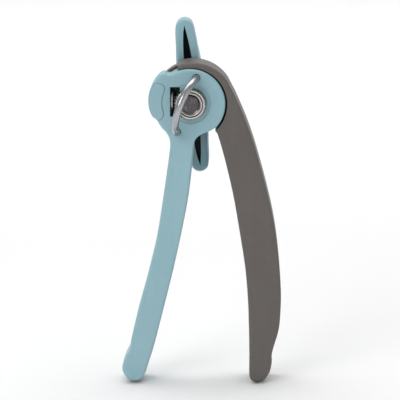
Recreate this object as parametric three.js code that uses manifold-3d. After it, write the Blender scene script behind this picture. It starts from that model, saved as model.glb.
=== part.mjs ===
// Hand-held can opener: two jointed levers, a toothed feed wheel on an axle that a
// long turning key drives, and a small free-running cutting wheel beside it.
//
// Frame, in millimetres: the drive axle lies along Y and the wheel faces -Y. The
// origin is on the axle's line, in the flat back of the key. The handles hang down,
// so +Z points from the tips to the head, and +X from the drum lever to the hood
// lever. The sizes below count Y from a place inside the head, and the whole
// assembly is then moved back, so that the key's back comes to the origin.

import * as THREE from 'three';
import { mergeVertices } from 'three/addons/utils/BufferGeometryUtils.js';
import Module from 'manifold-3d';

const wasm = await Module();
wasm.setup();

// ---------------------------------------------------------------- driving sizes

const REACH = 164; // axle to the tip of the handles, down
const HEAD_R = 20; // drum
const HANDLE_DEPTH = 20; // drum lever's handle, front to back
const KEY_LEN = 90; // turning key, tip to tip
const WHEEL_R = 9.1; // feed wheel, over the teeth
const CUTTER_R = 5.8; // cutting wheel
const PIVOT_R = 6.2; // pivot bush
const AXLE_R = 3.2;
const HOOD_WALL = 3; // hood that covers the drum
const BOW_WIRE_R = 2.1;

// ---------------------------------------------------------------- clearances

const GAP = 0.3; // between neighbouring pieces of one body
const PRESS = 0.02; // round a piece that is pressed in
const RUN = 0.06; // radial clearance of a bearing
const SWEEP = 0.5; // between the two levers' walls

// ---------------------------------------------------------------- places, front to back

const FACE_Y = -12; // drum's front face
const DRUM_BACK_Y = 2;
const DRUM_HANDLE_BACK_Y = FACE_Y + HANDLE_DEPTH;
const WEB_Y = DRUM_BACK_Y + GAP; // front of the hood lever's web
const HOOD_FRONT_Y = -10.5;
const HOOD_BACK_Y = 12;
const WALL = 2.4; // moulded walls
const COVER_T = 1.8; // back covers
const PLATE_T = 2; // steel cores
const DISH_D = 0.35; // shallow dish round the wheel
const DISH_RIM = 2.3; // how far the dish reaches past the wheel
const COUNTERBORE_D = 0.8; // deeper seat under it
const WHEEL_T = 3.4;
const WASHER_T = 0.6;
const THRUST_Y = FACE_Y - 0.1; // front of the thrust washer
const WHEEL_BACK_Y = THRUST_Y - 0.1;
const WHEEL_FRONT_Y = WHEEL_BACK_Y - WHEEL_T;
const CUP_DEPTH = 2;
const BUSH_FRONT_Y = FACE_Y + COUNTERBORE_D - 0.1;
const HUB_FRONT_Y = HOOD_BACK_Y + 0.9;
const KEY_FRONT_Y = 18;
const KEY_BACK_Y = 36;

// ---------------------------------------------------------------- places, across

const DRUM_C = [-0.3, -0.3]; // centre of the drum's outline
const PIVOT = [-0.5, 1.5]; // handles turn about this line; it is off the axle's
const OFFSET = Math.hypot(PIVOT[0] - DRUM_C[0], PIVOT[1] - DRUM_C[1]);
const HOOD_C = [DRUM_C[0] + 0.35, DRUM_C[1] - 0.25]; // leaves most room where the drum moves to
const HOOD_IN_R = HEAD_R + SWEEP + 0.25;
const HOOD_R = HOOD_IN_R + HOOD_WALL;
const HOOD_OUT_C = [HOOD_C[0] + 1.1, HOOD_C[1]]; // the hood thickens towards its handle
const HOOD_END_X = -7.4;
const BEVEL_DRUM = 1.3;
const BEVEL_HOOD = 1.5;

const NIP = 0.85; // between the feed wheel's teeth and the cutting wheel, handles as drawn
const CUTTER_T = 1.3;
const CUTTER = {
  x: -WHEEL_R - NIP - CUTTER_T / 2, y: -8.2, z: 1.6, t: CUTTER_T, pinR: 1.6, headR: 3.6, headT: 1.5,
};
const WINDOW = {
  x0: CUTTER.x - CUTTER_T / 2 - 0.35, x1: -WHEEL_R + 3.1,
  z0: CUTTER.z - CUTTER_R - 3.2, z1: CUTTER.z + CUTTER_R + 2.1,
  depth: CUTTER.y - FACE_Y + CUTTER_R + 0.9,
};
const CAP_PROUD = 0.7;
const CAP_SEAT_Y = FACE_Y + 1.1;
const BOW_ENDS = [[3.2, 14.7], [-7.7, -16.3]];
const BOW_RISE = 16.2; // top of the bow's centre line above the face
const BOW_LEAN = 3.8; // how far the top of the bow leans to the cutter's side
const BOW_HOLE_D = 6.5;
const BOW_STEPS = 14;
const KEY_TILT = 6.5; // degrees, top end towards -X
const KEY_FLAT = 9; // flat middle of the key's back, each way from the axle
const KEY_TIP_DEPTH = 12; // front to back at the key's tips
const KEY_FLOOR = 2; // behind the key's hollow
const KEY_HUB_R = 6.4;
const KEY_LEAF = { half: 2.5, end: 0.2, share: 0.46 }; // half widths, and reach as a share of KEY_LEN
const BEVEL_KEY = 1.6;
const SCREW = {
  headR: 2.4, headT: 1.2, shankR: 1, reach: 6.5, holeDepth: 6.1, bossR: 3,
  slot: { half: 1.4, w: 0.6, deep: 0.8 },
};
const DRUM_SCREWS = [[-10.7, -70], [-27.4, -134]];
const HOOD_SCREWS = [[37.6, -72], [43.3, -136]];
const HOOD_HEAD_SCREW_R = 14.2;
const HOOD_HEAD_SCREW_ANGLES = [60, 165];

// Outlines, as [x, z] stations from the head round the tip and back. They are drawn
// for these two sizes, and follow REACH and HEAD_R when those change.
const DRAWN_REACH = 164.5;
const DRAWN_HEAD_R = 20;
const DRUM_RIGHT = [
  [10.4, -16.1], [5.7, -18], [2.6, -21.1], [1.5, -27.5], [0.7, -36.5], [-1.5, -55.1],
  [-4.9, -73.2], [-8.7, -91.2], [-13, -109.3], [-17, -125.4], [-21.3, -142.4],
];
const DRUM_TIP = [
  [-25.1, -154.7], [-26.9, -160], [-29.5, -163.3], [-32.5, -164.3], [-35.9, -163.2],
  [-38.8, -160], [-39.9, -155.6], [-38.1, -150.3], [-35.6, -145.3], [-34.4, -138.3],
];
const DRUM_LEFT = [
  [-30.4, -121.3], [-26.4, -106.8], [-21.4, -86.7], [-18.6, -73.2], [-15.8, -55.1],
  [-12.9, -35], [-11.6, -22.9], [-13.3, -17.5], [-16.2, -14.3], [-18.1, -11.4], [-19.3, -8.9],
];
const BOSS = [
  [-21.2, -8.2], [-22.6, -6], [-23.6, -3], [-24, 0.4], [-23.8, 4.5], [-22.8, 8.4],
  [-21.1, 12], [-19.2, 14.6], [-17.1, 16.5], [-15, 17.2], [-13.4, 16.4],
];
const HOOD_OUTER = [
  [24.9, 4.9], [30.2, -7.1], [35.7, -22.1], [41.1, -40.9], [45.1, -56.6], [48.2, -71.7],
  [50.6, -89.7], [52.1, -110.2], [51.7, -126.3],
];
const HOOD_TIP = [
  [50.7, -134.3], [48.7, -141.3], [47.1, -147.7], [47.1, -152.8], [45.9, -158.6],
  [42.8, -163], [38.9, -164.8], [35.8, -163.8], [34.1, -160.6],
];
const HOOD_INNER = [
  [34, -147.9], [33.7, -132.5], [33, -114.7], [31.5, -96.9], [28.8, -79], [25, -56.6],
  [21.6, -40.9], [18.2, -27.4], [15.4, -17.9],
];
const HOOD_STRAP = [[0, 0], [12, -1], [21.5, -9.5], [27.6, -27], [31.5, -41], [35, -58]];
const DRUM_STRAP = [[-0.7, 0.1], [-4.4, -19.6], [-6, -34.6], [-8.8, -57.7]];
const CAP_EDGE = [
  [-18.8, -9.7], [-16.8, -9.1], [-15.5, -7.6], [-15.2, -5.6], [-15.9, -2.6], [-16.2, 1],
  [-15.7, 4.4], [-14.8, 7], [-14.6, 8.8], [-15.4, 10.4], [-17.2, 11.3],
];
const CAP_OUTER = [
  [-19.6, 11.6], [-21.5, 9.2], [-22.8, 5.2], [-23.1, 0.6], [-22.6, -3.6], [-21.1, -7.5],
];

// ---------------------------------------------------------------- materials

const finish = (color, roughness, metalness) =>
  new THREE.MeshStandardMaterial({ color, roughness, metalness });

const TEAL = finish(0x8bb0b9, 0.45, 0);
const TAUPE = finish(0x6a635f, 0.5, 0);
const STEEL = finish(0xb9b9bb, 0.25, 1);
const CORE = finish(0x9a9c9e, 0.45, 1);
const MAGNET = finish(0x3c3a3c, 0.6, 0.6);

// ---------------------------------------------------------------- solids

/** A closed geometry as a solid that can be cut and joined. */
function solid(geometry) {
  const bare = geometry.clone();
  bare.deleteAttribute('normal');
  bare.deleteAttribute('uv');
  const g = mergeVertices(bare, 1e-4);
  return new wasm.Manifold(new wasm.Mesh({
    numProp: 3,
    vertProperties: new Float32Array(g.attributes.position.array),
    triVerts: new Uint32Array(g.index.array),
  }));
}

/** A solid back as a geometry with flat-shaded faces. */
function geometryOf(body) {
  const m = body.getMesh();
  const g = new THREE.BufferGeometry();
  g.setAttribute('position', new THREE.BufferAttribute(new Float32Array(m.vertProperties), 3));
  g.setIndex(new THREE.BufferAttribute(new Uint32Array(m.triVerts), 1));
  const flat = g.toNonIndexed();
  flat.computeVertexNormals();
  return flat;
}

const join = (first, ...rest) => rest.reduce((a, b) => a.add(b), first);
const cut = (first, ...rest) => rest.reduce((a, b) => a.subtract(b), first);

/** An outline in X and Z, made solid from y0 to y1, with its edges rounded by `bevel`. */
function slab(outline, y0, y1, bevel = 0) {
  const shape = new THREE.Shape(outline.map(([x, z]) => new THREE.Vector2(x, z)));
  const g = new THREE.ExtrudeGeometry(shape, {
    depth: y1 - y0 - 2 * bevel,
    bevelEnabled: bevel > 0,
    bevelThickness: bevel,
    bevelSize: bevel,
    bevelOffset: -bevel,
    bevelSegments: 3,
    curveSegments: 8,
  });
  g.rotateX(Math.PI / 2);
  g.translate(0, y1 - bevel, 0);
  return solid(g);
}

/** A cylinder about a line along Y. */
function round([x, z], r, y0, y1, sides = 72) {
  const g = new THREE.CylinderGeometry(r, r, y1 - y0, sides);
  g.translate(x, (y0 + y1) / 2, z);
  return solid(g);
}

/** A cylinder about a line along X. */
function roundX(y, z, r, x0, x1, sides = 40) {
  const g = new THREE.CylinderGeometry(r, r, x1 - x0, sides);
  g.rotateZ(Math.PI / 2);
  g.translate((x0 + x1) / 2, y, z);
  return solid(g);
}

function block(x0, x1, y0, y1, z0, z1) {
  const g = new THREE.BoxGeometry(x1 - x0, y1 - y0, z1 - z0);
  g.translate((x0 + x1) / 2, (y0 + y1) / 2, (z0 + z1) / 2);
  return solid(g);
}

/** A turned piece about the Y line through [x, z]; the profile is [radius, y] pairs. */
function turned([x, z], profile, sides = 72) {
  const ordered = area(profile) > 0 ? profile : [...profile].reverse();
  const points = [...ordered, ordered[0]].map(([r, y]) => new THREE.Vector2(r, y));
  const g = new THREE.LatheGeometry(points, sides);
  g.translate(x, 0, z);
  return solid(g);
}

// ---------------------------------------------------------------- outlines

/** Points on a circle from angle a0 to a1, in degrees from +X towards +Z. */
function arc([cx, cz], r, a0, a1, n) {
  return Array.from({ length: n + 1 }, (_, i) => {
    const a = THREE.MathUtils.degToRad(a0 + (a1 - a0) * i / n);
    return [cx + r * Math.cos(a), cz + r * Math.sin(a)];
  });
}

/** A station below the head, moved down when the handles are made longer. */
const place = ([x, z]) => [x, z < -30 ? -30 + (z + 30) * (REACH - 30) / (DRAWN_REACH - 30) : z];

/** A smooth line through stations. */
function smooth(stations, perSpan) {
  const curve = new THREE.SplineCurve(stations.map(place).map(([x, z]) => new THREE.Vector2(x, z)));
  return curve.getPoints(perSpan * (stations.length - 1)).map((p) => [p.x, p.y]);
}

function area(outline) {
  return outline.reduce((sum, [x, z], i) => {
    const [u, w] = outline[(i + 1) % outline.length];
    return sum + (x * w - u * z) / 2;
  }, 0);
}

/** The shortest way from a point to a closed outline. */
function reachTo(outline, [x, z]) {
  return outline.reduce((least, [ax, az], i) => {
    const [bx, bz] = outline[(i + 1) % outline.length];
    const [dx, dz] = [bx - ax, bz - az];
    const t = THREE.MathUtils.clamp(((x - ax) * dx + (z - az) * dz) / (dx * dx + dz * dz), 0, 1);
    return Math.min(least, Math.hypot(x - ax - t * dx, z - az - t * dz));
  }, Infinity);
}

/** The unit normal of the edge from a to b, on its left. */
function leftOf([ax, az], [bx, bz]) {
  const len = Math.hypot(bx - ax, bz - az);
  return [(az - bz) / len, (bx - ax) / len];
}

/** An outline moved in by d; points that tight corners would push too far are left out. */
function inset(outline, d) {
  const turn = Math.sign(area(outline));
  const n = outline.length;
  const moved = outline.map(([x, z], i) => {
    const [ux, uz] = leftOf(outline[(i + n - 1) % n], [x, z]);
    const [vx, vz] = leftOf([x, z], outline[(i + 1) % n]);
    const k = turn * d / (1 + ux * vx + uz * vz);
    return [x + k * (ux + vx), z + k * (uz + vz)];
  });
  return moved.filter((point) => reachTo(outline, point) > 0.985 * Math.abs(d));
}

/** A band of one width along stations. */
function ribbon(stations, width) {
  const line = smooth(stations, 6);
  const sides = line.map(([x, z], i) => {
    const [px, pz] = line[Math.max(i - 1, 0)];
    const [qx, qz] = line[Math.min(i + 1, line.length - 1)];
    const len = Math.hypot(qx - px, qz - pz);
    const across = [-(qz - pz) / len * width / 2, (qx - px) / len * width / 2];
    return [[x + across[0], z + across[1]], [x - across[0], z - across[1]]];
  });
  return [...sides.map((s) => s[0]), ...sides.map((s) => s[1]).reverse()];
}

/** What of a solid lies below a height. */
const below = (body, z) => cut(body, block(-200, 200, -200, 200, z, 200));

// The head grows with HEAD_R.
const HEAD_SCALE = HEAD_R / DRAWN_HEAD_R;
const onHead = ([x, z]) => [x * HEAD_SCALE, z * HEAD_SCALE];

const drumHandle = smooth([...DRUM_RIGHT, ...DRUM_TIP, ...DRUM_LEFT], 3);
const drumOutline = [
  ...arc(DRUM_C, HEAD_R, 124, -42, 56),
  ...drumHandle,
  ...smooth(BOSS.map(onHead), 3),
];
const hoodHandle = smooth([...HOOD_OUTER, ...HOOD_TIP, ...HOOD_INNER], 3);
const hoodEndAngle = THREE.MathUtils.radToDeg(Math.acos((HOOD_END_X - HOOD_OUT_C[0]) / HOOD_R));
const hoodOutline = [
  ...arc(HOOD_OUT_C, HOOD_R, hoodEndAngle, 34, 22),
  ...hoodHandle,
  [13, -14.6],
  [2, -4],
  [HOOD_END_X, 8],
];

// ---------------------------------------------------------------- drum lever

const DRUM_CAVITY_TOP = -27;
const drumCoverY = DRUM_HANDLE_BACK_Y - COVER_T;
const STRAP_W = 7;
const drumCoreR = HEAD_R - WALL - 1.6;
const pinEnd = WINDOW.x0 - 7.8; // inside the side boss

function bowPath() {
  const [[ax, az], [bx, bz]] = BOW_ENDS.map(onHead);
  const half = [(ax - bx) / 2, (az - bz) / 2];
  const mid = [(ax + bx) / 2, (az + bz) / 2];
  const span = Math.hypot(...half);
  const side = [-half[1] / span, half[0] / span];
  const points = [];
  for (let i = 0; i <= BOW_STEPS; i += 1) {
    const a = Math.PI * i / BOW_STEPS;
    const along = Math.cos(a);
    const up = Math.sin(a);
    const lean = BOW_LEAN * up ** 1.5;
    points.push(new THREE.Vector3(
      mid[0] + half[0] * along + side[0] * lean,
      FACE_Y - 1 - (BOW_RISE - 1) * up,
      mid[1] + half[1] * along + side[1] * lean,
    ));
  }
  const foot = FACE_Y + BOW_HOLE_D - GAP;
  points.unshift(new THREE.Vector3(ax, foot, az));
  points.push(new THREE.Vector3(bx, foot, bz));
  return new THREE.CatmullRomCurve3(points, false, 'centripetal');
}

function wireBow() {
  const section = new THREE.Shape(arc([0, 0], BOW_WIRE_R, 0, 360, 16).slice(0, -1)
    .map(([x, z]) => new THREE.Vector2(x, z)));
  return solid(new THREE.ExtrudeGeometry(section, {
    steps: 44,
    bevelEnabled: false,
    extrudePath: bowPath(),
  }));
}

function drumShell() {
  const clearWeb = round(PIVOT, HOOD_R + OFFSET + SWEEP, DRUM_BACK_Y, DRUM_HANDLE_BACK_Y + 1);
  const inner = slab(inset(drumHandle, WALL), FACE_Y + WALL, drumCoverY);
  const cavity = below(inner, DRUM_CAVITY_TOP);
  const rebate = slab(inset(drumHandle, WALL / 2), drumCoverY - 0.1, DRUM_HANDLE_BACK_Y + 1);
  const seat = below(rebate, DRUM_CAVITY_TOP + 2);
  const plateRoomY = DRUM_BACK_Y - PLATE_T - 2 * GAP;
  const plateRoom = join(
    round(DRUM_C, drumCoreR + GAP, plateRoomY, DRUM_BACK_Y + 1),
    slab(ribbon(DRUM_STRAP, STRAP_W + 2 * GAP), plateRoomY, DRUM_HANDLE_BACK_Y + 1),
  );
  const window = block(WINDOW.x0, WINDOW.x1, FACE_Y - 1, FACE_Y + WINDOW.depth, WINDOW.z0, WINDOW.z1);
  const pinHole = roundX(CUTTER.y, CUTTER.z, CUTTER.pinR + PRESS, pinEnd - 0.2, WINDOW.x0 + 1);
  const bowHoles = BOW_ENDS.map(onHead)
    .map((at) => round(at, BOW_WIRE_R + 0.25, FACE_Y - 1, FACE_Y + BOW_HOLE_D, 24));
  const capSeat = slab(inset(capOutline(), -0.1), FACE_Y - 2, CAP_SEAT_Y);
  const body = cut(
    slab(drumOutline, FACE_Y, DRUM_HANDLE_BACK_Y, BEVEL_DRUM),
    clearWeb, seat, cavity, plateRoom, window, pinHole, ...bowHoles, capSeat,
    round([0, 0], WHEEL_R + DISH_RIM, FACE_Y - 1, FACE_Y + DISH_D),
    round([0, 0], WHEEL_R - 1.5, FACE_Y - 1, FACE_Y + COUNTERBORE_D),
    round(PIVOT, PIVOT_R + GAP, FACE_Y - 1, DRUM_BACK_Y + 1),
  );
  return withBosses(body, DRUM_SCREWS, FACE_Y + WALL - 0.5, drumCoverY - 0.1);
}

/** Screw bosses standing in a cavity, each with its blind hole. */
function withBosses(body, places, y0, y1) {
  return places.map(place).reduce((b, at) => cut(
    join(b, round(at, SCREW.bossR, y0, y1, 32)),
    round(at, SCREW.shankR + PRESS, y1 - SCREW.holeDepth, y1 + 1, 24),
  ), body);
}

function coverHoles(body, places, back) {
  return places.map(place).reduce((b, at) => cut(
    b,
    round(at, SCREW.shankR + 0.15, back - 9, back + 1, 24),
    turned(at, [[0, back - SCREW.headT], [SCREW.shankR + 0.2, back - SCREW.headT],
      [SCREW.headR + 0.25, back], [SCREW.headR + 0.25, back + 1], [0, back + 1]], 32),
  ), body);
}

/** A countersunk screw with a cross slot. */
function screw(at, back) {
  const [x, z] = place(at);
  const { headR, headT, shankR, slot } = SCREW;
  const seat = back - headT;
  const end = seat - SCREW.reach;
  const body = turned([x, z], [
    [0, end], [shankR, end], [shankR, seat], [headR, back - 0.1], [0, back - 0.1],
  ], 24);
  return cut(
    body,
    block(x - slot.half, x + slot.half, back - slot.deep, back + 1, z - slot.w / 2, z + slot.w / 2),
    block(x - slot.w / 2, x + slot.w / 2, back - slot.deep, back + 1, z - slot.half, z + slot.half),
  );
}

function drumCover() {
  const plate = slab(inset(drumHandle, WALL / 2 + GAP), drumCoverY, DRUM_HANDLE_BACK_Y);
  return coverHoles(below(plate, DRUM_CAVITY_TOP + 1.8), DRUM_SCREWS, DRUM_HANDLE_BACK_Y);
}

function drumCore() {
  const y1 = DRUM_BACK_Y - GAP;
  const y0 = y1 - PLATE_T;
  return cut(
    join(round(DRUM_C, drumCoreR, y0, y1), slab(ribbon(DRUM_STRAP, STRAP_W), y0, y1)),
    round(PIVOT, PIVOT_R + RUN, y0 - 1, y1 + 1),
  );
}

function capOutline() {
  return [...smooth(CAP_EDGE, 4), ...smooth(CAP_OUTER, 4)].map(onHead);
}

function cutterCap() {
  return slab(capOutline(), FACE_Y - CAP_PROUD, CAP_SEAT_Y - 0.1, 0.6);
}

function cutterPin() {
  const { x, y, z, t, pinR, headR, headT } = CUTTER;
  const head = x + t / 2 + 0.1;
  return join(
    roundX(y, z, pinR, pinEnd, head + headT - 0.1),
    roundX(y, z, headR, head, head + headT),
  );
}

function cuttingWheel() {
  const { x, y, z, t, pinR } = CUTTER;
  const profile = [[pinR + RUN, -t / 2], [CUTTER_R - 0.7, -t / 2], [CUTTER_R, t / 2 - 0.3],
    [CUTTER_R - 0.1, t / 2], [pinR + RUN, t / 2]];
  const points = [...profile, profile[0]].map(([r, h]) => new THREE.Vector2(r, h));
  const g = new THREE.LatheGeometry(points, 64);
  g.rotateZ(-Math.PI / 2);
  g.translate(x, y, z);
  return solid(g);
}

// ---------------------------------------------------------------- hood lever

const HOOD_FLOOR_Y = WEB_Y + WALL - 0.2;
const hoodCoverY = HOOD_BACK_Y - COVER_T;
const headScrews = HOOD_HEAD_SCREW_ANGLES
  .map((a) => arc(PIVOT, HOOD_HEAD_SCREW_R * HEAD_SCALE, a, a, 1)[0]);
const hoodScrews = [...headScrews, ...HOOD_SCREWS];

function hoodShell() {
  const whole = join(
    slab(hoodOutline, HOOD_FRONT_Y, HOOD_BACK_Y, BEVEL_HOOD),
    round(PIVOT, HEAD_R, WEB_Y, HOOD_BACK_Y),
  );
  const inner = inset(hoodOutline, WALL);
  const front = cut(
    slab(inner, HOOD_FRONT_Y + WALL, HOOD_FLOOR_Y + 0.1),
    round(HOOD_C, HOOD_IN_R + WALL, HOOD_FRONT_Y - 1, HOOD_BACK_Y + 1),
  );
  const back = join(
    slab(inner, HOOD_FLOOR_Y, hoodCoverY),
    round(PIVOT, HEAD_R - WALL, HOOD_FLOOR_Y, hoodCoverY),
  );
  const seat = join(
    slab(inset(hoodOutline, WALL / 2), hoodCoverY - 0.1, HOOD_BACK_Y + 1),
    round(PIVOT, HEAD_R - WALL / 2, hoodCoverY - 0.1, HOOD_BACK_Y + 1),
  );
  const body = cut(
    whole, front, back, seat,
    round(HOOD_C, HOOD_IN_R, HOOD_FRONT_Y - 1, WEB_Y),
    round(PIVOT, PIVOT_R + GAP, WEB_Y - 1, HOOD_FLOOR_Y + 1),
  );
  return withBosses(
    withBosses(body, HOOD_SCREWS, HOOD_FRONT_Y + WALL - 0.5, hoodCoverY - 0.1),
    headScrews, HOOD_FLOOR_Y - 0.5, hoodCoverY - 0.1,
  );
}

function hoodCover() {
  const plate = join(
    slab(inset(hoodOutline, WALL / 2 + GAP), hoodCoverY, HOOD_BACK_Y),
    round(PIVOT, HEAD_R - WALL / 2 - GAP, hoodCoverY, HOOD_BACK_Y),
  );
  return coverHoles(
    cut(plate, round([0, 0], AXLE_R + 0.5, hoodCoverY - 1, HOOD_BACK_Y + 1)),
    hoodScrews, HOOD_BACK_Y,
  );
}

const HOOD_STRAP_W = 8;
const hoodPlateY = HOOD_FLOOR_Y + GAP;
const hoodCoreR = HOOD_HEAD_SCREW_R * HEAD_SCALE - SCREW.bossR - 0.2;

function hoodCore() {
  const y1 = hoodPlateY + PLATE_T;
  return cut(
    join(round(PIVOT, hoodCoreR, hoodPlateY, y1), slab(ribbon(HOOD_STRAP, HOOD_STRAP_W), hoodPlateY, y1)),
    round(PIVOT, PIVOT_R + PRESS, hoodPlateY - 1, y1 + 1),
  );
}

const BUSH_FLANGE = { w: 2.2, t: 1.5 };

function pivotBush() {
  const seat = hoodPlateY + PLATE_T + 0.1;
  return cut(
    join(
      round(PIVOT, PIVOT_R, BUSH_FRONT_Y, seat + 0.5),
      round(PIVOT, PIVOT_R + BUSH_FLANGE.w, seat, seat + BUSH_FLANGE.t),
    ),
    round([0, 0], AXLE_R + RUN, BUSH_FRONT_Y - 1, seat + 3),
  );
}

// ---------------------------------------------------------------- drive

const recessFloor = WHEEL_FRONT_Y + CUP_DEPTH;
const TEETH = 30;
const TOOTH_D = 0.65;
const TOOTH_START = 0.8; // plain rim in front of the teeth
const RECESS_R = WHEEL_R - 1.8;
const CUP_R = RECESS_R - 0.45;
const CUP_WALL = 1;
const CUP_FLOOR = 0.5;
const MAGNET_LIFT = 0.1; // glue under the magnet
const MAGNET_R = CUP_R - CUP_WALL - 1.05;

function feedWheel() {
  const root = WHEEL_R - TOOTH_D;
  const step = 360 / TEETH;
  const outline = [];
  for (let i = 0; i < TEETH; i += 1) {
    outline.push(...arc([0, 0], root, i * step, (i + 0.2) * step, 1));
    outline.push(...arc([0, 0], WHEEL_R, (i + 0.45) * step, (i + 0.75) * step, 1));
  }
  const toothFront = WHEEL_FRONT_Y + TOOTH_START;
  const face = turned([0, 0], [
    [0, WHEEL_FRONT_Y], [root - 0.45, WHEEL_FRONT_Y], [root - 0.15, WHEEL_FRONT_Y + 0.12],
    [root - 0.02, WHEEL_FRONT_Y + 0.4], [root - 0.02, toothFront + 0.1], [0, toothFront + 0.1],
  ]);
  return cut(
    join(slab(outline, toothFront, WHEEL_BACK_Y), face),
    round([0, 0], RECESS_R, WHEEL_FRONT_Y - 1, recessFloor),
    round([0, 0], AXLE_R + PRESS, recessFloor - 1, WHEEL_BACK_Y + 1, 48),
  );
}

function magnetCup() {
  const back = recessFloor - 0.1;
  const top = WHEEL_FRONT_Y - 0.2;
  const inner = CUP_R - CUP_WALL;
  return turned([0, 0], [
    [0, back], [CUP_R, back], [CUP_R, top + 0.5], [CUP_R - 0.15, top + 0.15], [CUP_R - 0.4, top],
    [inner + 0.3, top], [inner + 0.08, top + 0.12], [inner, top + 0.35],
    [inner, back - CUP_FLOOR], [0, back - CUP_FLOOR],
  ]);
}

function magnet() {
  const back = recessFloor - 0.1 - CUP_FLOOR - MAGNET_LIFT;
  const top = WHEEL_FRONT_Y + 0.25;
  return turned([0, 0], [
    [0, back], [MAGNET_R, back], [MAGNET_R, top + 0.25], [MAGNET_R - 0.25, top], [0, top],
  ]);
}

function ringPiece(inner, outer, y0, y1, sides = 48) {
  return turned([0, 0], [[inner, y0], [outer, y0], [outer, y1], [inner, y1]], sides);
}

const keyBoreEnd = KEY_BACK_Y - 5.5;
const keyTurn = THREE.MathUtils.degToRad(KEY_TILT);

function driveAxle() {
  return join(
    round([0, 0], AXLE_R, recessFloor + 0.05, keyBoreEnd - 0.5, 48),
    round([0, 0], AXLE_R - 0.3, recessFloor + 0.02, recessFloor + 1, 48),
  );
}

/** The key's outline: widest at the hub, with round ends. */
function keyOutline() {
  const half = KEY_LEN / 2;
  const right = [
    [7.7, 0], [7.5, 0.22], [7, 0.44], [6.1, 0.66], [5.5, 0.84], [4.5, 0.94], [2.5, 0.985],
  ].map(([w, t]) => [w, t * half]);
  const side = right.slice(1);
  const mirrored = [...side].reverse();
  const all = [
    ...right, [0, half], ...mirrored.map(([w, z]) => [-w, z]),
    [-right[0][0], 0], ...side.map(([w, z]) => [-w, -z]),
    [0, -half], ...mirrored.map(([w, z]) => [w, -z]),
  ];
  const curve = new THREE.SplineCurve([...all, all[0]].map(([x, z]) => new THREE.Vector2(x, z)));
  return curve.getPoints(3 * all.length).slice(0, -1).map((p) => [p.x, p.y]);
}

/** The hollow that runs along the key's front, a leaf with pointed ends. */
function keyLeaf() {
  const reach = KEY_LEN * KEY_LEAF.share;
  const side = Array.from({ length: 21 }, (_, i) => {
    const t = -1 + i / 10;
    return [KEY_LEAF.half * (1 - Math.abs(t) ** 3) + KEY_LEAF.end, t * reach];
  });
  return [...side, ...side.slice(1, -1).reverse().map(([w, z]) => [-w, z])];
}

/** What lies behind the key's back, which slopes forward from its flat middle to both tips. */
function behindKey(lift) {
  const drop = KEY_BACK_Y - KEY_FRONT_Y - KEY_TIP_DEPTH;
  const slope = Math.atan2(drop, KEY_LEN / 2 - KEY_FLAT);
  const far = 2 * KEY_LEN;
  return [-1, 1].map((side) => {
    const g = new THREE.BoxGeometry(far, far, far);
    g.translate(0, far / 2 - lift, side * far / 2);
    g.rotateX(side * slope);
    g.translate(0, KEY_BACK_Y, side * KEY_FLAT);
    g.rotateY(-keyTurn);
    return solid(g);
  });
}

function turningKey() {
  const turn = ([x, z]) => [
    x * Math.cos(keyTurn) - z * Math.sin(keyTurn),
    x * Math.sin(keyTurn) + z * Math.cos(keyTurn),
  ];
  const leafBack = KEY_BACK_Y - KEY_FLOOR;
  const leaf = cut(
    slab(keyLeaf().map(turn), KEY_FRONT_Y - 1, leafBack),
    ...behindKey(KEY_FLOOR),
  );
  const bar = slab(keyOutline().map(turn), KEY_FRONT_Y, KEY_BACK_Y, BEVEL_KEY);
  const wing = cut(bar, ...behindKey(0), leaf);
  const hub = round([0, 0], KEY_HUB_R, HUB_FRONT_Y, KEY_BACK_Y - 4, 64);
  return cut(
    join(wing, hub),
    round([0, 0], AXLE_R + PRESS, HUB_FRONT_Y - 1, keyBoreEnd, 48),
  );
}

// ---------------------------------------------------------------- assembly

const assembly = new THREE.Group();
assembly.name = 'can_opener';

function add(name, body, material) {
  const geometry = geometryOf(body);
  geometry.translate(0, -KEY_BACK_Y, 0);
  const mesh = new THREE.Mesh(geometry, material);
  mesh.name = name;
  assembly.add(mesh);
}

add('drum_lever_shell', drumShell(), TEAL);
add('drum_lever_cover', drumCover(), TEAL);
add('drum_lever_core', drumCore(), CORE);
DRUM_SCREWS.forEach((at, i) => add(`drum_lever_screw_${i + 1}`, screw(at, DRUM_HANDLE_BACK_Y), STEEL));
add('cutter_cap', cutterCap(), TEAL);
add('cutter_pin', cutterPin(), STEEL);
add('wire_bow', wireBow(), STEEL);
add('cutting_wheel', cuttingWheel(), STEEL);
add('hood_lever_shell', hoodShell(), TAUPE);
add('hood_lever_cover', hoodCover(), TAUPE);
add('hood_lever_core', hoodCore(), CORE);
hoodScrews.forEach((at, i) => add(`hood_lever_screw_${i + 1}`, screw(at, HOOD_BACK_Y), STEEL));
add('pivot_bush', pivotBush(), CORE);
add('drive_axle', driveAxle(), STEEL);
add('feed_wheel', feedWheel(), STEEL);
add('magnet_cup', magnetCup(), STEEL);
add('magnet', magnet(), MAGNET);
add('thrust_washer', ringPiece(AXLE_R + 0.1, 5.6, THRUST_Y, THRUST_Y + WASHER_T), STEEL);
add('spring_washer', ringPiece(AXLE_R + 0.3, 6.2, HOOD_BACK_Y + 0.15, HUB_FRONT_Y - 0.15), STEEL);
add('turning_key', turningKey(), TEAL);

export default assembly;
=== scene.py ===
# %% [markdown]
# # A hand-held can opener
#
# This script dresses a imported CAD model. The CAD part fixes every size, place and
# joint, and Blender adds what a CAD solid lacks: rounded moulded edges, brushed and
# turned metal, and the small irregularities that make plastic look like plastic.
# Each step is a cell, and each cell starts with a few words on what the real piece
# is, how it could be made here, and why this way was chosen.

import math

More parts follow.
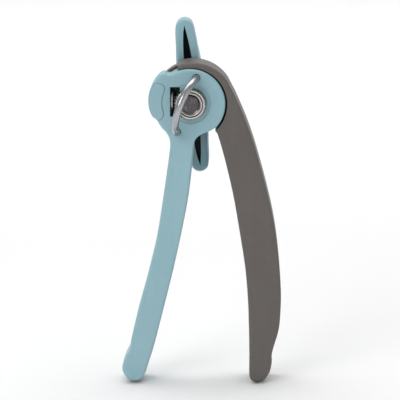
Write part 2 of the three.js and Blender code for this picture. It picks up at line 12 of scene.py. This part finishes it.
import bmesh
import bpy
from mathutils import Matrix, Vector


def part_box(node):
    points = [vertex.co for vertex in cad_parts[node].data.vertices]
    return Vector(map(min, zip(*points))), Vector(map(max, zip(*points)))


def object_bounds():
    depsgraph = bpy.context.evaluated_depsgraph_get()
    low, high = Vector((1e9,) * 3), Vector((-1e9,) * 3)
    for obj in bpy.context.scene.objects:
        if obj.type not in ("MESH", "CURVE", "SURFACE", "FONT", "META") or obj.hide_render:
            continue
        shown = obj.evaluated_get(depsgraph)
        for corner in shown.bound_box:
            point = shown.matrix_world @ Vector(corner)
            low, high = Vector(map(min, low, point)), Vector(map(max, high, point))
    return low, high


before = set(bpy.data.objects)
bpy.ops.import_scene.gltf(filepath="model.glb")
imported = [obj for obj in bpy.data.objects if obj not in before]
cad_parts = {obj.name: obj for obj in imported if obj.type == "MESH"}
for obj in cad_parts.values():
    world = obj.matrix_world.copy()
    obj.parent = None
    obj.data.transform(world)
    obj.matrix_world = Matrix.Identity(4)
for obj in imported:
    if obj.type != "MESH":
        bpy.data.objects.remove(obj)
cad_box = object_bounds()

# %% [markdown]
# ## Shader maths as Python expressions
#
# A material in Blender is a graph of nodes. Building one by hand means a line for
# every node and every wire. Wrapping an output socket in a small class lets the
# script write `1 - mask * 0.3` and have the Math nodes appear by themselves. Colours
# and vectors have their own nodes, because a Math node would turn a colour grey.

# %% The socket wrapper and the material builder
class Val:
    """One number that varies over a surface: an output socket that can be calculated with."""

    def __init__(self, mat, socket):
        self.mat = mat
        self.socket = socket

    def _math(self, operation, first, second=0.0):
        return self.mat.node("ShaderNodeMath", {"operation": operation}, {0: first, 1: second})

    def __add__(self, other):
        return self._math("ADD", self, other)

    def __sub__(self, other):
        return self._math("SUBTRACT", self, other)

    def __mul__(self, other):
        return self._math("MULTIPLY", self, other)

    def __truediv__(self, other):
        return self._math("DIVIDE", self, other)

    def __rsub__(self, other):
        return self._math("SUBTRACT", other, self)

    def __pow__(self, other):
        return self._math("POWER", self, other)

    __radd__ = __add__
    __rmul__ = __mul__


class Graph:
    """A node tree under construction, with one method that makes any node."""

    def __init__(self, tree):
        self.tree = tree

    def node(self, kind, settings=None, inputs=None, output=0):
        made = self.tree.nodes.new(kind)
        for key, value in (settings or {}).items():
            if key == "stops":
                self._stops(made.color_ramp, value)
            else:
                setattr(made, key, value)
        for key, value in (inputs or {}).items():
            self.feed(made.inputs[key], value)
        return Val(self, made.outputs[output])

    def _stops(self, ramp, stops):
        for i, (at, level) in enumerate(stops):
            stop = ramp.elements[i] if i < 2 else ramp.elements.new(at)
            stop.position = at
            stop.color = (level, level, level, 1) if isinstance(level, (int, float)) else (*level, 1)

    def feed(self, socket, value):
        if isinstance(value, Val):
            self.tree.links.new(value.socket, socket)
        else:
            socket.default_value = value

    def axes(self, vector):
        """The three numbers of a vector."""
        split = self.node("ShaderNodeSeparateXYZ", {}, {0: vector}).socket.node
        return [Val(self, split.outputs[axis]) for axis in "XYZ"]

    def stretch(self, where, scale):
        return self.node("ShaderNodeMapping", {}, {"Vector": where, "Scale": scale})

    def noise(self, where, scale, detail=3.0, roughness=0.5):
        return self.node("ShaderNodeTexNoise", {}, {
            "Vector": where, "Scale": scale, "Detail": detail, "Roughness": roughness})

    def mix(self, amount, first, second):
        """Blends two colours."""
        first, second = [c if isinstance(c, Val) else (*c, 1.0) for c in (first, second)]
        return self.node("ShaderNodeMix", {"data_type": "RGBA"}, {0: amount, 6: first, 7: second}, output=2)

    def ramp(self, value, *stops):
        return self.node("ShaderNodeValToRGB", {"stops": stops}, {0: value})


class Finish(Graph):
    """A material: a graph that ends in one main shader."""

    def __init__(self, name):
        self.material = bpy.data.materials.new(name)
        self.material.use_nodes = True
        super().__init__(self.material.node_tree)
        self.shader = self.tree.nodes["Principled BSDF"]

    def set(self, **inputs):
        """Feeds the main shader; an underscore in a name stands for a space."""
        for key, value in inputs.items():
            self.feed(self.shader.inputs[key.replace("_", " ")], value)

    def place(self):
        """Where a point is on the piece, in metres."""
        return self.node("ShaderNodeTexCoord", output="Object")

    def bump(self, height, depth, strength=1.0):
        return self.node("ShaderNodeBump", {}, {"Height": height, "Distance": depth, "Strength": strength})

    def painted_shade_mask(self, reach, deep, open_at):
        """Painted shade mask: 1 deep inside a recess narrower than `reach`, from ambient occlusion, and 0
        on open faces.
        """
        openness = self.node("ShaderNodeAmbientOcclusion", {"samples": 8}, {"Distance": reach}, output="AO")
        return self.ramp(openness, (deep, 1.0), (open_at, 0.0))


print("shader maths is ready")

# %% [markdown]
# ## Moulded plastic
#
# Both levers are satin plastic. A mould leaves a very fine, even grain, and the
# pigment is never perfectly even: there is a slow drift of tone over a few
# centimetres and a faint flow pattern along the handle. Rubbed edges turn a little
# smoother and lighter. The grain is a bump a few microns deep, so it breaks up the
# highlight without being seen as texture. Narrow recesses and gaps are darkened in
# the base colour by ambient occlusion: this is painted shade.

# %% Plastic finishes
def moulded(name, colour, deep, pale, dark, rough, seed, reach=0.007, open_at=0.62):
    f = Finish(name)
    where = f.place()
    drift = f.noise(where, 22.0 + seed, 2.0)
    flow = f.noise(f.stretch(where, (260.0, 260.0, 26.0)), 1.0, 3.0)
    grain = f.noise(where, 5200.0, 2.0)
    pores = f.noise(where, 1500.0 + 40 * seed, 4.0, 0.6)
    body = f.mix(f.ramp(drift * 0.6 + flow * 0.4, (0.38, 0.0), (0.62, 1.0)), deep, colour)
    specks = f.ramp(pores, (0.62, 0.0), (0.72, 0.16))
    worn = f.ramp(f.noise(where, 190.0, 4.0), (0.45, 0.0), (0.7, 0.14))
    surface = f.mix(worn, f.mix(specks, body, deep), pale)
    f.set(
        # Painted shade: the base colour goes towards the fourth, near-black colour in narrow recesses and
        # gaps.
        Base_Color=f.mix(f.painted_shade_mask(reach, 0.12, open_at), surface, dark),
        Roughness=rough + 0.1 * (pores - 0.5) - 0.07 * worn,
        Normal=f.bump(grain * 0.6 + pores * 0.4, 0.00003, 0.55),
        Specular_IOR_Level=0.42,
        Coat_Weight=0.05,
        Coat_Roughness=0.4,
    )
    return f.material


# Each plastic has its own tone, a deeper and a paler tone for drift, specks and wear, and a near-black
# colour for painted shade.
TEAL_SHADES = ((0.292, 0.476, 0.534), (0.268, 0.448, 0.506), (0.335, 0.515, 0.570), (0.012, 0.026, 0.030))
TAUPE_SHADES = ((0.122, 0.108, 0.101), (0.111, 0.098, 0.091), (0.155, 0.142, 0.133), (0.014, 0.012, 0.011))
TEAL = moulded("teal_plastic", *TEAL_SHADES, 0.44, 1)
# A copy of the teal whose painted shade reaches further, so the key is darker near the head and handles.
KEY_TEAL_WIDE_SHADE = moulded("teal_key_plastic_wide_shade", *TEAL_SHADES, 0.44, 3, 0.016, 0.74)
TAUPE = moulded("taupe_plastic", *TAUPE_SHADES, 0.50, 2)
print("plastics:", TEAL.name, KEY_TEAL_WIDE_SHADE.name, TAUPE.name)

# %% [markdown]
# ## Metals
#
# Four kinds show. The wheel and cup are turned on a lathe, so their marks run in
# rings about the axle. The cutter is ground across, the wire is plated and nearly
# smooth with draw lines along it, and the sheet-steel cores are plain mill finish.
# A ring pattern is made from the distance to the axle's line, not from an image, so
# it is sharp at any size. Turned pieces are darkened near their outer rim and in
# narrow recesses: painted shade.

# %% Metal finishes
RIM_SHADE_RADIUS = 0.01  # metres; painted shade darkens the outer fifth of this radius


def ringed(name, colour, rough, spacing, depth, centre=(0.0, 0.0), across="XZ"):
    """Turned metal: rings about a line, from the distance to it."""
    f = Finish(name)
    where = f.place()
    parts = dict(zip("XYZ", f.axes(where)))
    a, b = (parts[axis] - middle for axis, middle in zip(across, centre))
    radius = (a * a + b * b) ** 0.5
    wobble = f.noise(where, 900.0, 3.0)
    rings = f.node("ShaderNodeTexNoise", {"noise_dimensions": "1D"}, {
        "W": radius / spacing + wobble * 0.4, "Scale": 1.0, "Detail": 4.0, "Roughness": 0.7})
    smear = f.noise(where, 160.0, 4.0)
    metal = f.mix(smear, colour, tuple(c * 0.8 for c in colour))
    # Painted shade: pieces go dark beyond 0.8 of this radius, at their outer rim.
    rim_shade = f.ramp(radius / RIM_SHADE_RADIUS, (0.80, 0.0), (0.86, 0.75))
    shade = tuple(c * 0.12 for c in colour)
    f.set(
        # Painted shade: the metal goes towards a near-black copy of its colour in narrow recesses and at
        # its outer rim.
        Base_Color=f.mix(f.painted_shade_mask(0.0022, 0.2, 0.8), f.mix(rim_shade, metal, shade), shade),
        Metallic=1.0,
        Roughness=rough + 0.16 * (rings - 0.5) + 0.1 * (smear - 0.5),
        Normal=f.bump(rings, depth, 0.5),
    )
    return f.material


def drawn(name, colour, rough, along, depth):
    """Drawn or ground metal: fine lines along one direction."""
    f = Finish(name)
    where = f.place()
    lines = f.noise(f.stretch(where, along), 1.0, 4.0, 0.65)
    smear = f.noise(where, 240.0, 4.0)
    pits = f.ramp(f.noise(where, 1300.0, 3.0), (0.66, 0.0), (0.74, 1.0))
    f.set(
        Base_Color=f.mix(smear, colour, tuple(c * 0.84 for c in colour)),
        Metallic=1.0,
        Roughness=rough + 0.18 * (lines - 0.5) + 0.1 * (smear - 0.5) + 0.08 * pits,
        Normal=f.bump(lines * 0.8 - pits * 0.3, depth, 0.5),
    )
    return f.material


low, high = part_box("cutting_wheel")
cutter_line = [(low[i] + high[i]) / 2 for i in (1, 2)]

TURNED = ringed("turned_steel", (0.66, 0.64, 0.61), 0.19, 0.00016, 0.00002)
CUTTER_STEEL = ringed("ground_cutter", (0.50, 0.48, 0.46), 0.3, 0.00012, 0.00002, cutter_line, "YZ")
WIRE = drawn("plated_wire", (0.44, 0.45, 0.47), 0.24, (2600.0, 2600.0, 160.0), 0.00002)
SHEET = drawn("sheet_steel", (0.42, 0.42, 0.42), 0.42, (300.0, 1800.0, 2200.0), 0.00003)
SCREW_STEEL = drawn("screw_steel", (0.55, 0.55, 0.56), 0.3, (1500.0, 1500.0, 1500.0), 0.00002)
print("metals:", ", ".join(m.name for m in (TURNED, CUTTER_STEEL, WIRE, SHEET, SCREW_STEEL)))

# %% [markdown]
# ## The magnet
#
# A small sintered magnet sits in the cup. Sintered metal is pressed powder, so it is
# dark, grainy and mottled, with pale scuffs where lids have knocked it.

# %% Magnet finish
def sintered(name):
    f = Finish(name)
    where = f.place()
    coarse = f.noise(where, 420.0, 5.0, 0.65)
    fine = f.noise(where, 2600.0, 4.0, 0.7)
    rubs = f.noise(f.stretch(where, (900.0, 300.0, 380.0)), 1.0, 5.0, 0.7)
    scuffs = f.ramp(rubs, (0.54, 0.0), (0.72, 0.75))
    powder = f.mix(coarse * 0.6 + fine * 0.4, (0.042, 0.039, 0.044), (0.17, 0.16, 0.165))
    f.set(
        Base_Color=f.mix(scuffs, powder, (0.42, 0.41, 0.42)),
        Metallic=0.55,
        Roughness=0.5 + 0.24 * (fine - 0.5) - 0.12 * scuffs,
        Normal=f.bump(coarse * 0.5 + fine * 0.5, 0.00008, 0.7),
    )
    return f.material


MAGNET = sintered("sintered_magnet")
print("magnet finish:", MAGNET.name)

# %% [markdown]
# ## Dressing the CAD nodes
#
# A CAD node keeps its mesh and is dressed with modifiers. Its corners are as sharp as
# the CAD made them, and a real corner never is: a narrow Bevel catches the light
# along every edge. Weld joins the split corners first, because a Bevel needs faces
# that share their edges, and Weighted Normals keeps the flat faces flat.

# %% Materials and rounded edges on the CAD nodes
def dress(name, material, radius=0.0, segments=2, angle=32.0):
    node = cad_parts[name]
    node.data.materials.clear()
    node.data.materials.append(material)
    weld = node.modifiers.new("weld", "WELD")
    weld.merge_threshold = 2e-6
    if radius:
        bevel = node.modifiers.new("rounded edges", "BEVEL")
        bevel.width = radius
        bevel.segments = segments
        bevel.limit_method = "ANGLE"
        bevel.angle_limit = math.radians(angle)
    for face in node.data.polygons:
        face.use_smooth = True
    normals = node.modifiers.new("flat faces", "WEIGHTED_NORMAL")
    normals.keep_sharp = True
    normals.weight = 60
    return node


FINISHES = {
    "drum_lever_shell": (TEAL, 0.00012), "drum_lever_cover": (TEAL, 0.00015),
    "cutter_cap": (TEAL, 0.0), "turning_key": (KEY_TEAL_WIDE_SHADE, 0.00012),
    "hood_lever_shell": (TAUPE, 0.00012), "hood_lever_cover": (TAUPE, 0.00015),
    "drum_lever_core": (SHEET, 0.0), "hood_lever_core": (SHEET, 0.0), "pivot_bush": (SHEET, 0.0),
    "drive_axle": (SHEET, 0.0), "feed_wheel": (TURNED, 0.00012), "magnet_cup": (TURNED, 0.0),
    "magnet": (MAGNET, 0.0), "thrust_washer": (TURNED, 0.0), "spring_washer": (TURNED, 0.0),
    "cutting_wheel": (CUTTER_STEEL, 0.0), "cutter_pin": (TURNED, 0.0), "wire_bow": (WIRE, 0.0),
}
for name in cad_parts:
    material, radius = FINISHES.get(name, (SCREW_STEEL, 0.0))
    dress(name, material, radius)
print("dressed", len(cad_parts), "CAD nodes")

# %% [markdown]
# ## Floor, light and camera
#
# A product is lit softly so that its shape shows through gentle changes of tone: one
# large lamp above and to the left, and a weaker one at the right. Two more light the
# floor and the wall behind, so that both go to white. The surround is bright at the
# horizon and at the back and grey elsewhere, which gives the metal something to
# reflect. The camera is a long lens a little above the axle, so that the handles stay
# nearly parallel.

# %% Studio
scene = bpy.context.scene
scene.view_settings.view_transform = "Standard"
floor_z = cad_box[0][2] - 0.0006

# The sweep, in metres: its front and back edges, the curve between floor and wall,
# the wall's height and half the width.
SWEEP_FRONT = -18.0
SWEEP_BACK = 2.9
SWEEP_RADIUS = 0.8
SWEEP_HEIGHT = 4.2
SWEEP_HALF = 18.0
SWEEP_STEPS = 24


def studio_sweep():
    """A pale floor that curves up into a wall behind the object."""
    curve_start = SWEEP_BACK - SWEEP_RADIUS
    profile = [(SWEEP_FRONT, 0.0), (curve_start, 0.0)]
    for i in range(1, SWEEP_STEPS + 1):
        turn = math.pi / 2 * i / SWEEP_STEPS
        profile.append((curve_start + SWEEP_RADIUS * math.sin(turn), SWEEP_RADIUS * (1 - math.cos(turn))))
    profile.append((SWEEP_BACK, SWEEP_HEIGHT))
    bm = bmesh.new()
    rows = [[bm.verts.new((x, y, floor_z + z)) for x in (-SWEEP_HALF, SWEEP_HALF)] for y, z in profile]
    for low, high in zip(rows, rows[1:]):
        bm.faces.new((low[0], low[1], high[1], high[0]))
    mesh = bpy.data.meshes.new("studio_sweep")
    bm.to_mesh(mesh)
    bm.free()
    for face in mesh.polygons:
        face.use_smooth = True
    sweep = bpy.data.objects.new("studio_sweep", mesh)
    scene.collection.objects.link(sweep)
    f = Finish("pale_sweep")
    f.set(Base_Color=(0.93, 0.93, 0.93, 1.0), Roughness=0.9, Specular_IOR_Level=0.1)
    mesh.materials.append(f.material)
    return sweep


def area_lamp(name, place, aim, size, power):
    """A rectangular lamp that lights the scene but isn't seen itself."""
    lamp = bpy.data.lights.new(name, "AREA")
    lamp.shape = "RECTANGLE"
    lamp.size, lamp.size_y = size
    lamp.energy = power
    holder = bpy.data.objects.new(name, lamp)
    holder.location = place
    holder.rotation_euler = (Vector(aim) - Vector(place)).to_track_quat("-Z", "Y").to_euler()
    holder.visible_camera = False
    scene.collection.objects.link(holder)
    return holder


studio_sweep()
AIM = (0.005, -0.046, -0.05)
area_lamp("key_light", (-0.62, -0.95, 0.55), AIM, (0.7, 0.7), 4.95)
area_lamp("fill_light", (0.9, -0.8, 0.25), AIM, (0.7, 1.1), 1.1)
area_lamp("floor_light", (0.0, 0.35, 1.6), (0.0, 0.7, -0.1), (2.2, 1.0), 18.0)
area_lamp("wall_light", (0.0, 1.2, 1.5), (0.0, 2.9, 0.6), (4.0, 1.0), 22.0)


def surround():
    """White at the horizon and the back, and grey elsewhere, so that metal has something to show."""
    world = bpy.data.worlds.new("studio_surround")
    scene.world = world
    world.use_nodes = True
    sky = Graph(world.node_tree)
    _, depth, height = sky.axes(sky.node("ShaderNodeTexCoord", output="Generated"))
    level = sky.ramp(height * 0.5 + 0.5, (0.53, 1.2), (0.57, 0.25), (0.72, 0.48), (1.0, 0.55))
    rear = sky.ramp(depth * 0.5 + 0.5, (0.45, 0.0), (0.8, 1.0))
    background = world.node_tree.nodes["Background"].inputs
    sky.feed(background["Color"], sky.mix(rear, level, (0.85, 0.85, 0.85)))
    background["Strength"].default_value = 0.85
    return world


print("surround:", surround().name)

# %% Camera
CAMERA_AZIMUTH = 1.5
CAMERA_ELEVATION = 11.5
LENS_MM = 180.0
SENSOR_MM = 36.0
VIEW_WIDTH = 0.2285
TARGET = Vector((0.0054, -0.048, -0.0555))

azimuth, elevation = math.radians(CAMERA_AZIMUTH), math.radians(CAMERA_ELEVATION)
back = Vector((
    math.sin(azimuth) * math.cos(elevation),
    -math.cos(azimuth) * math.cos(elevation),
    math.sin(elevation),
))
camera_data = bpy.data.cameras.new("camera")
camera_data.lens = LENS_MM
camera_data.sensor_width = SENSOR_MM
camera_data.clip_start = 0.01
camera = bpy.data.objects.new("camera", camera_data)
camera.location = TARGET + back * (VIEW_WIDTH * LENS_MM / SENSOR_MM)
camera.rotation_euler = (-back).to_track_quat("-Z", "Y").to_euler()
scene.collection.objects.link(camera)
scene.camera = camera
print("camera stands", round((camera.location - TARGET).length, 3), "m away")
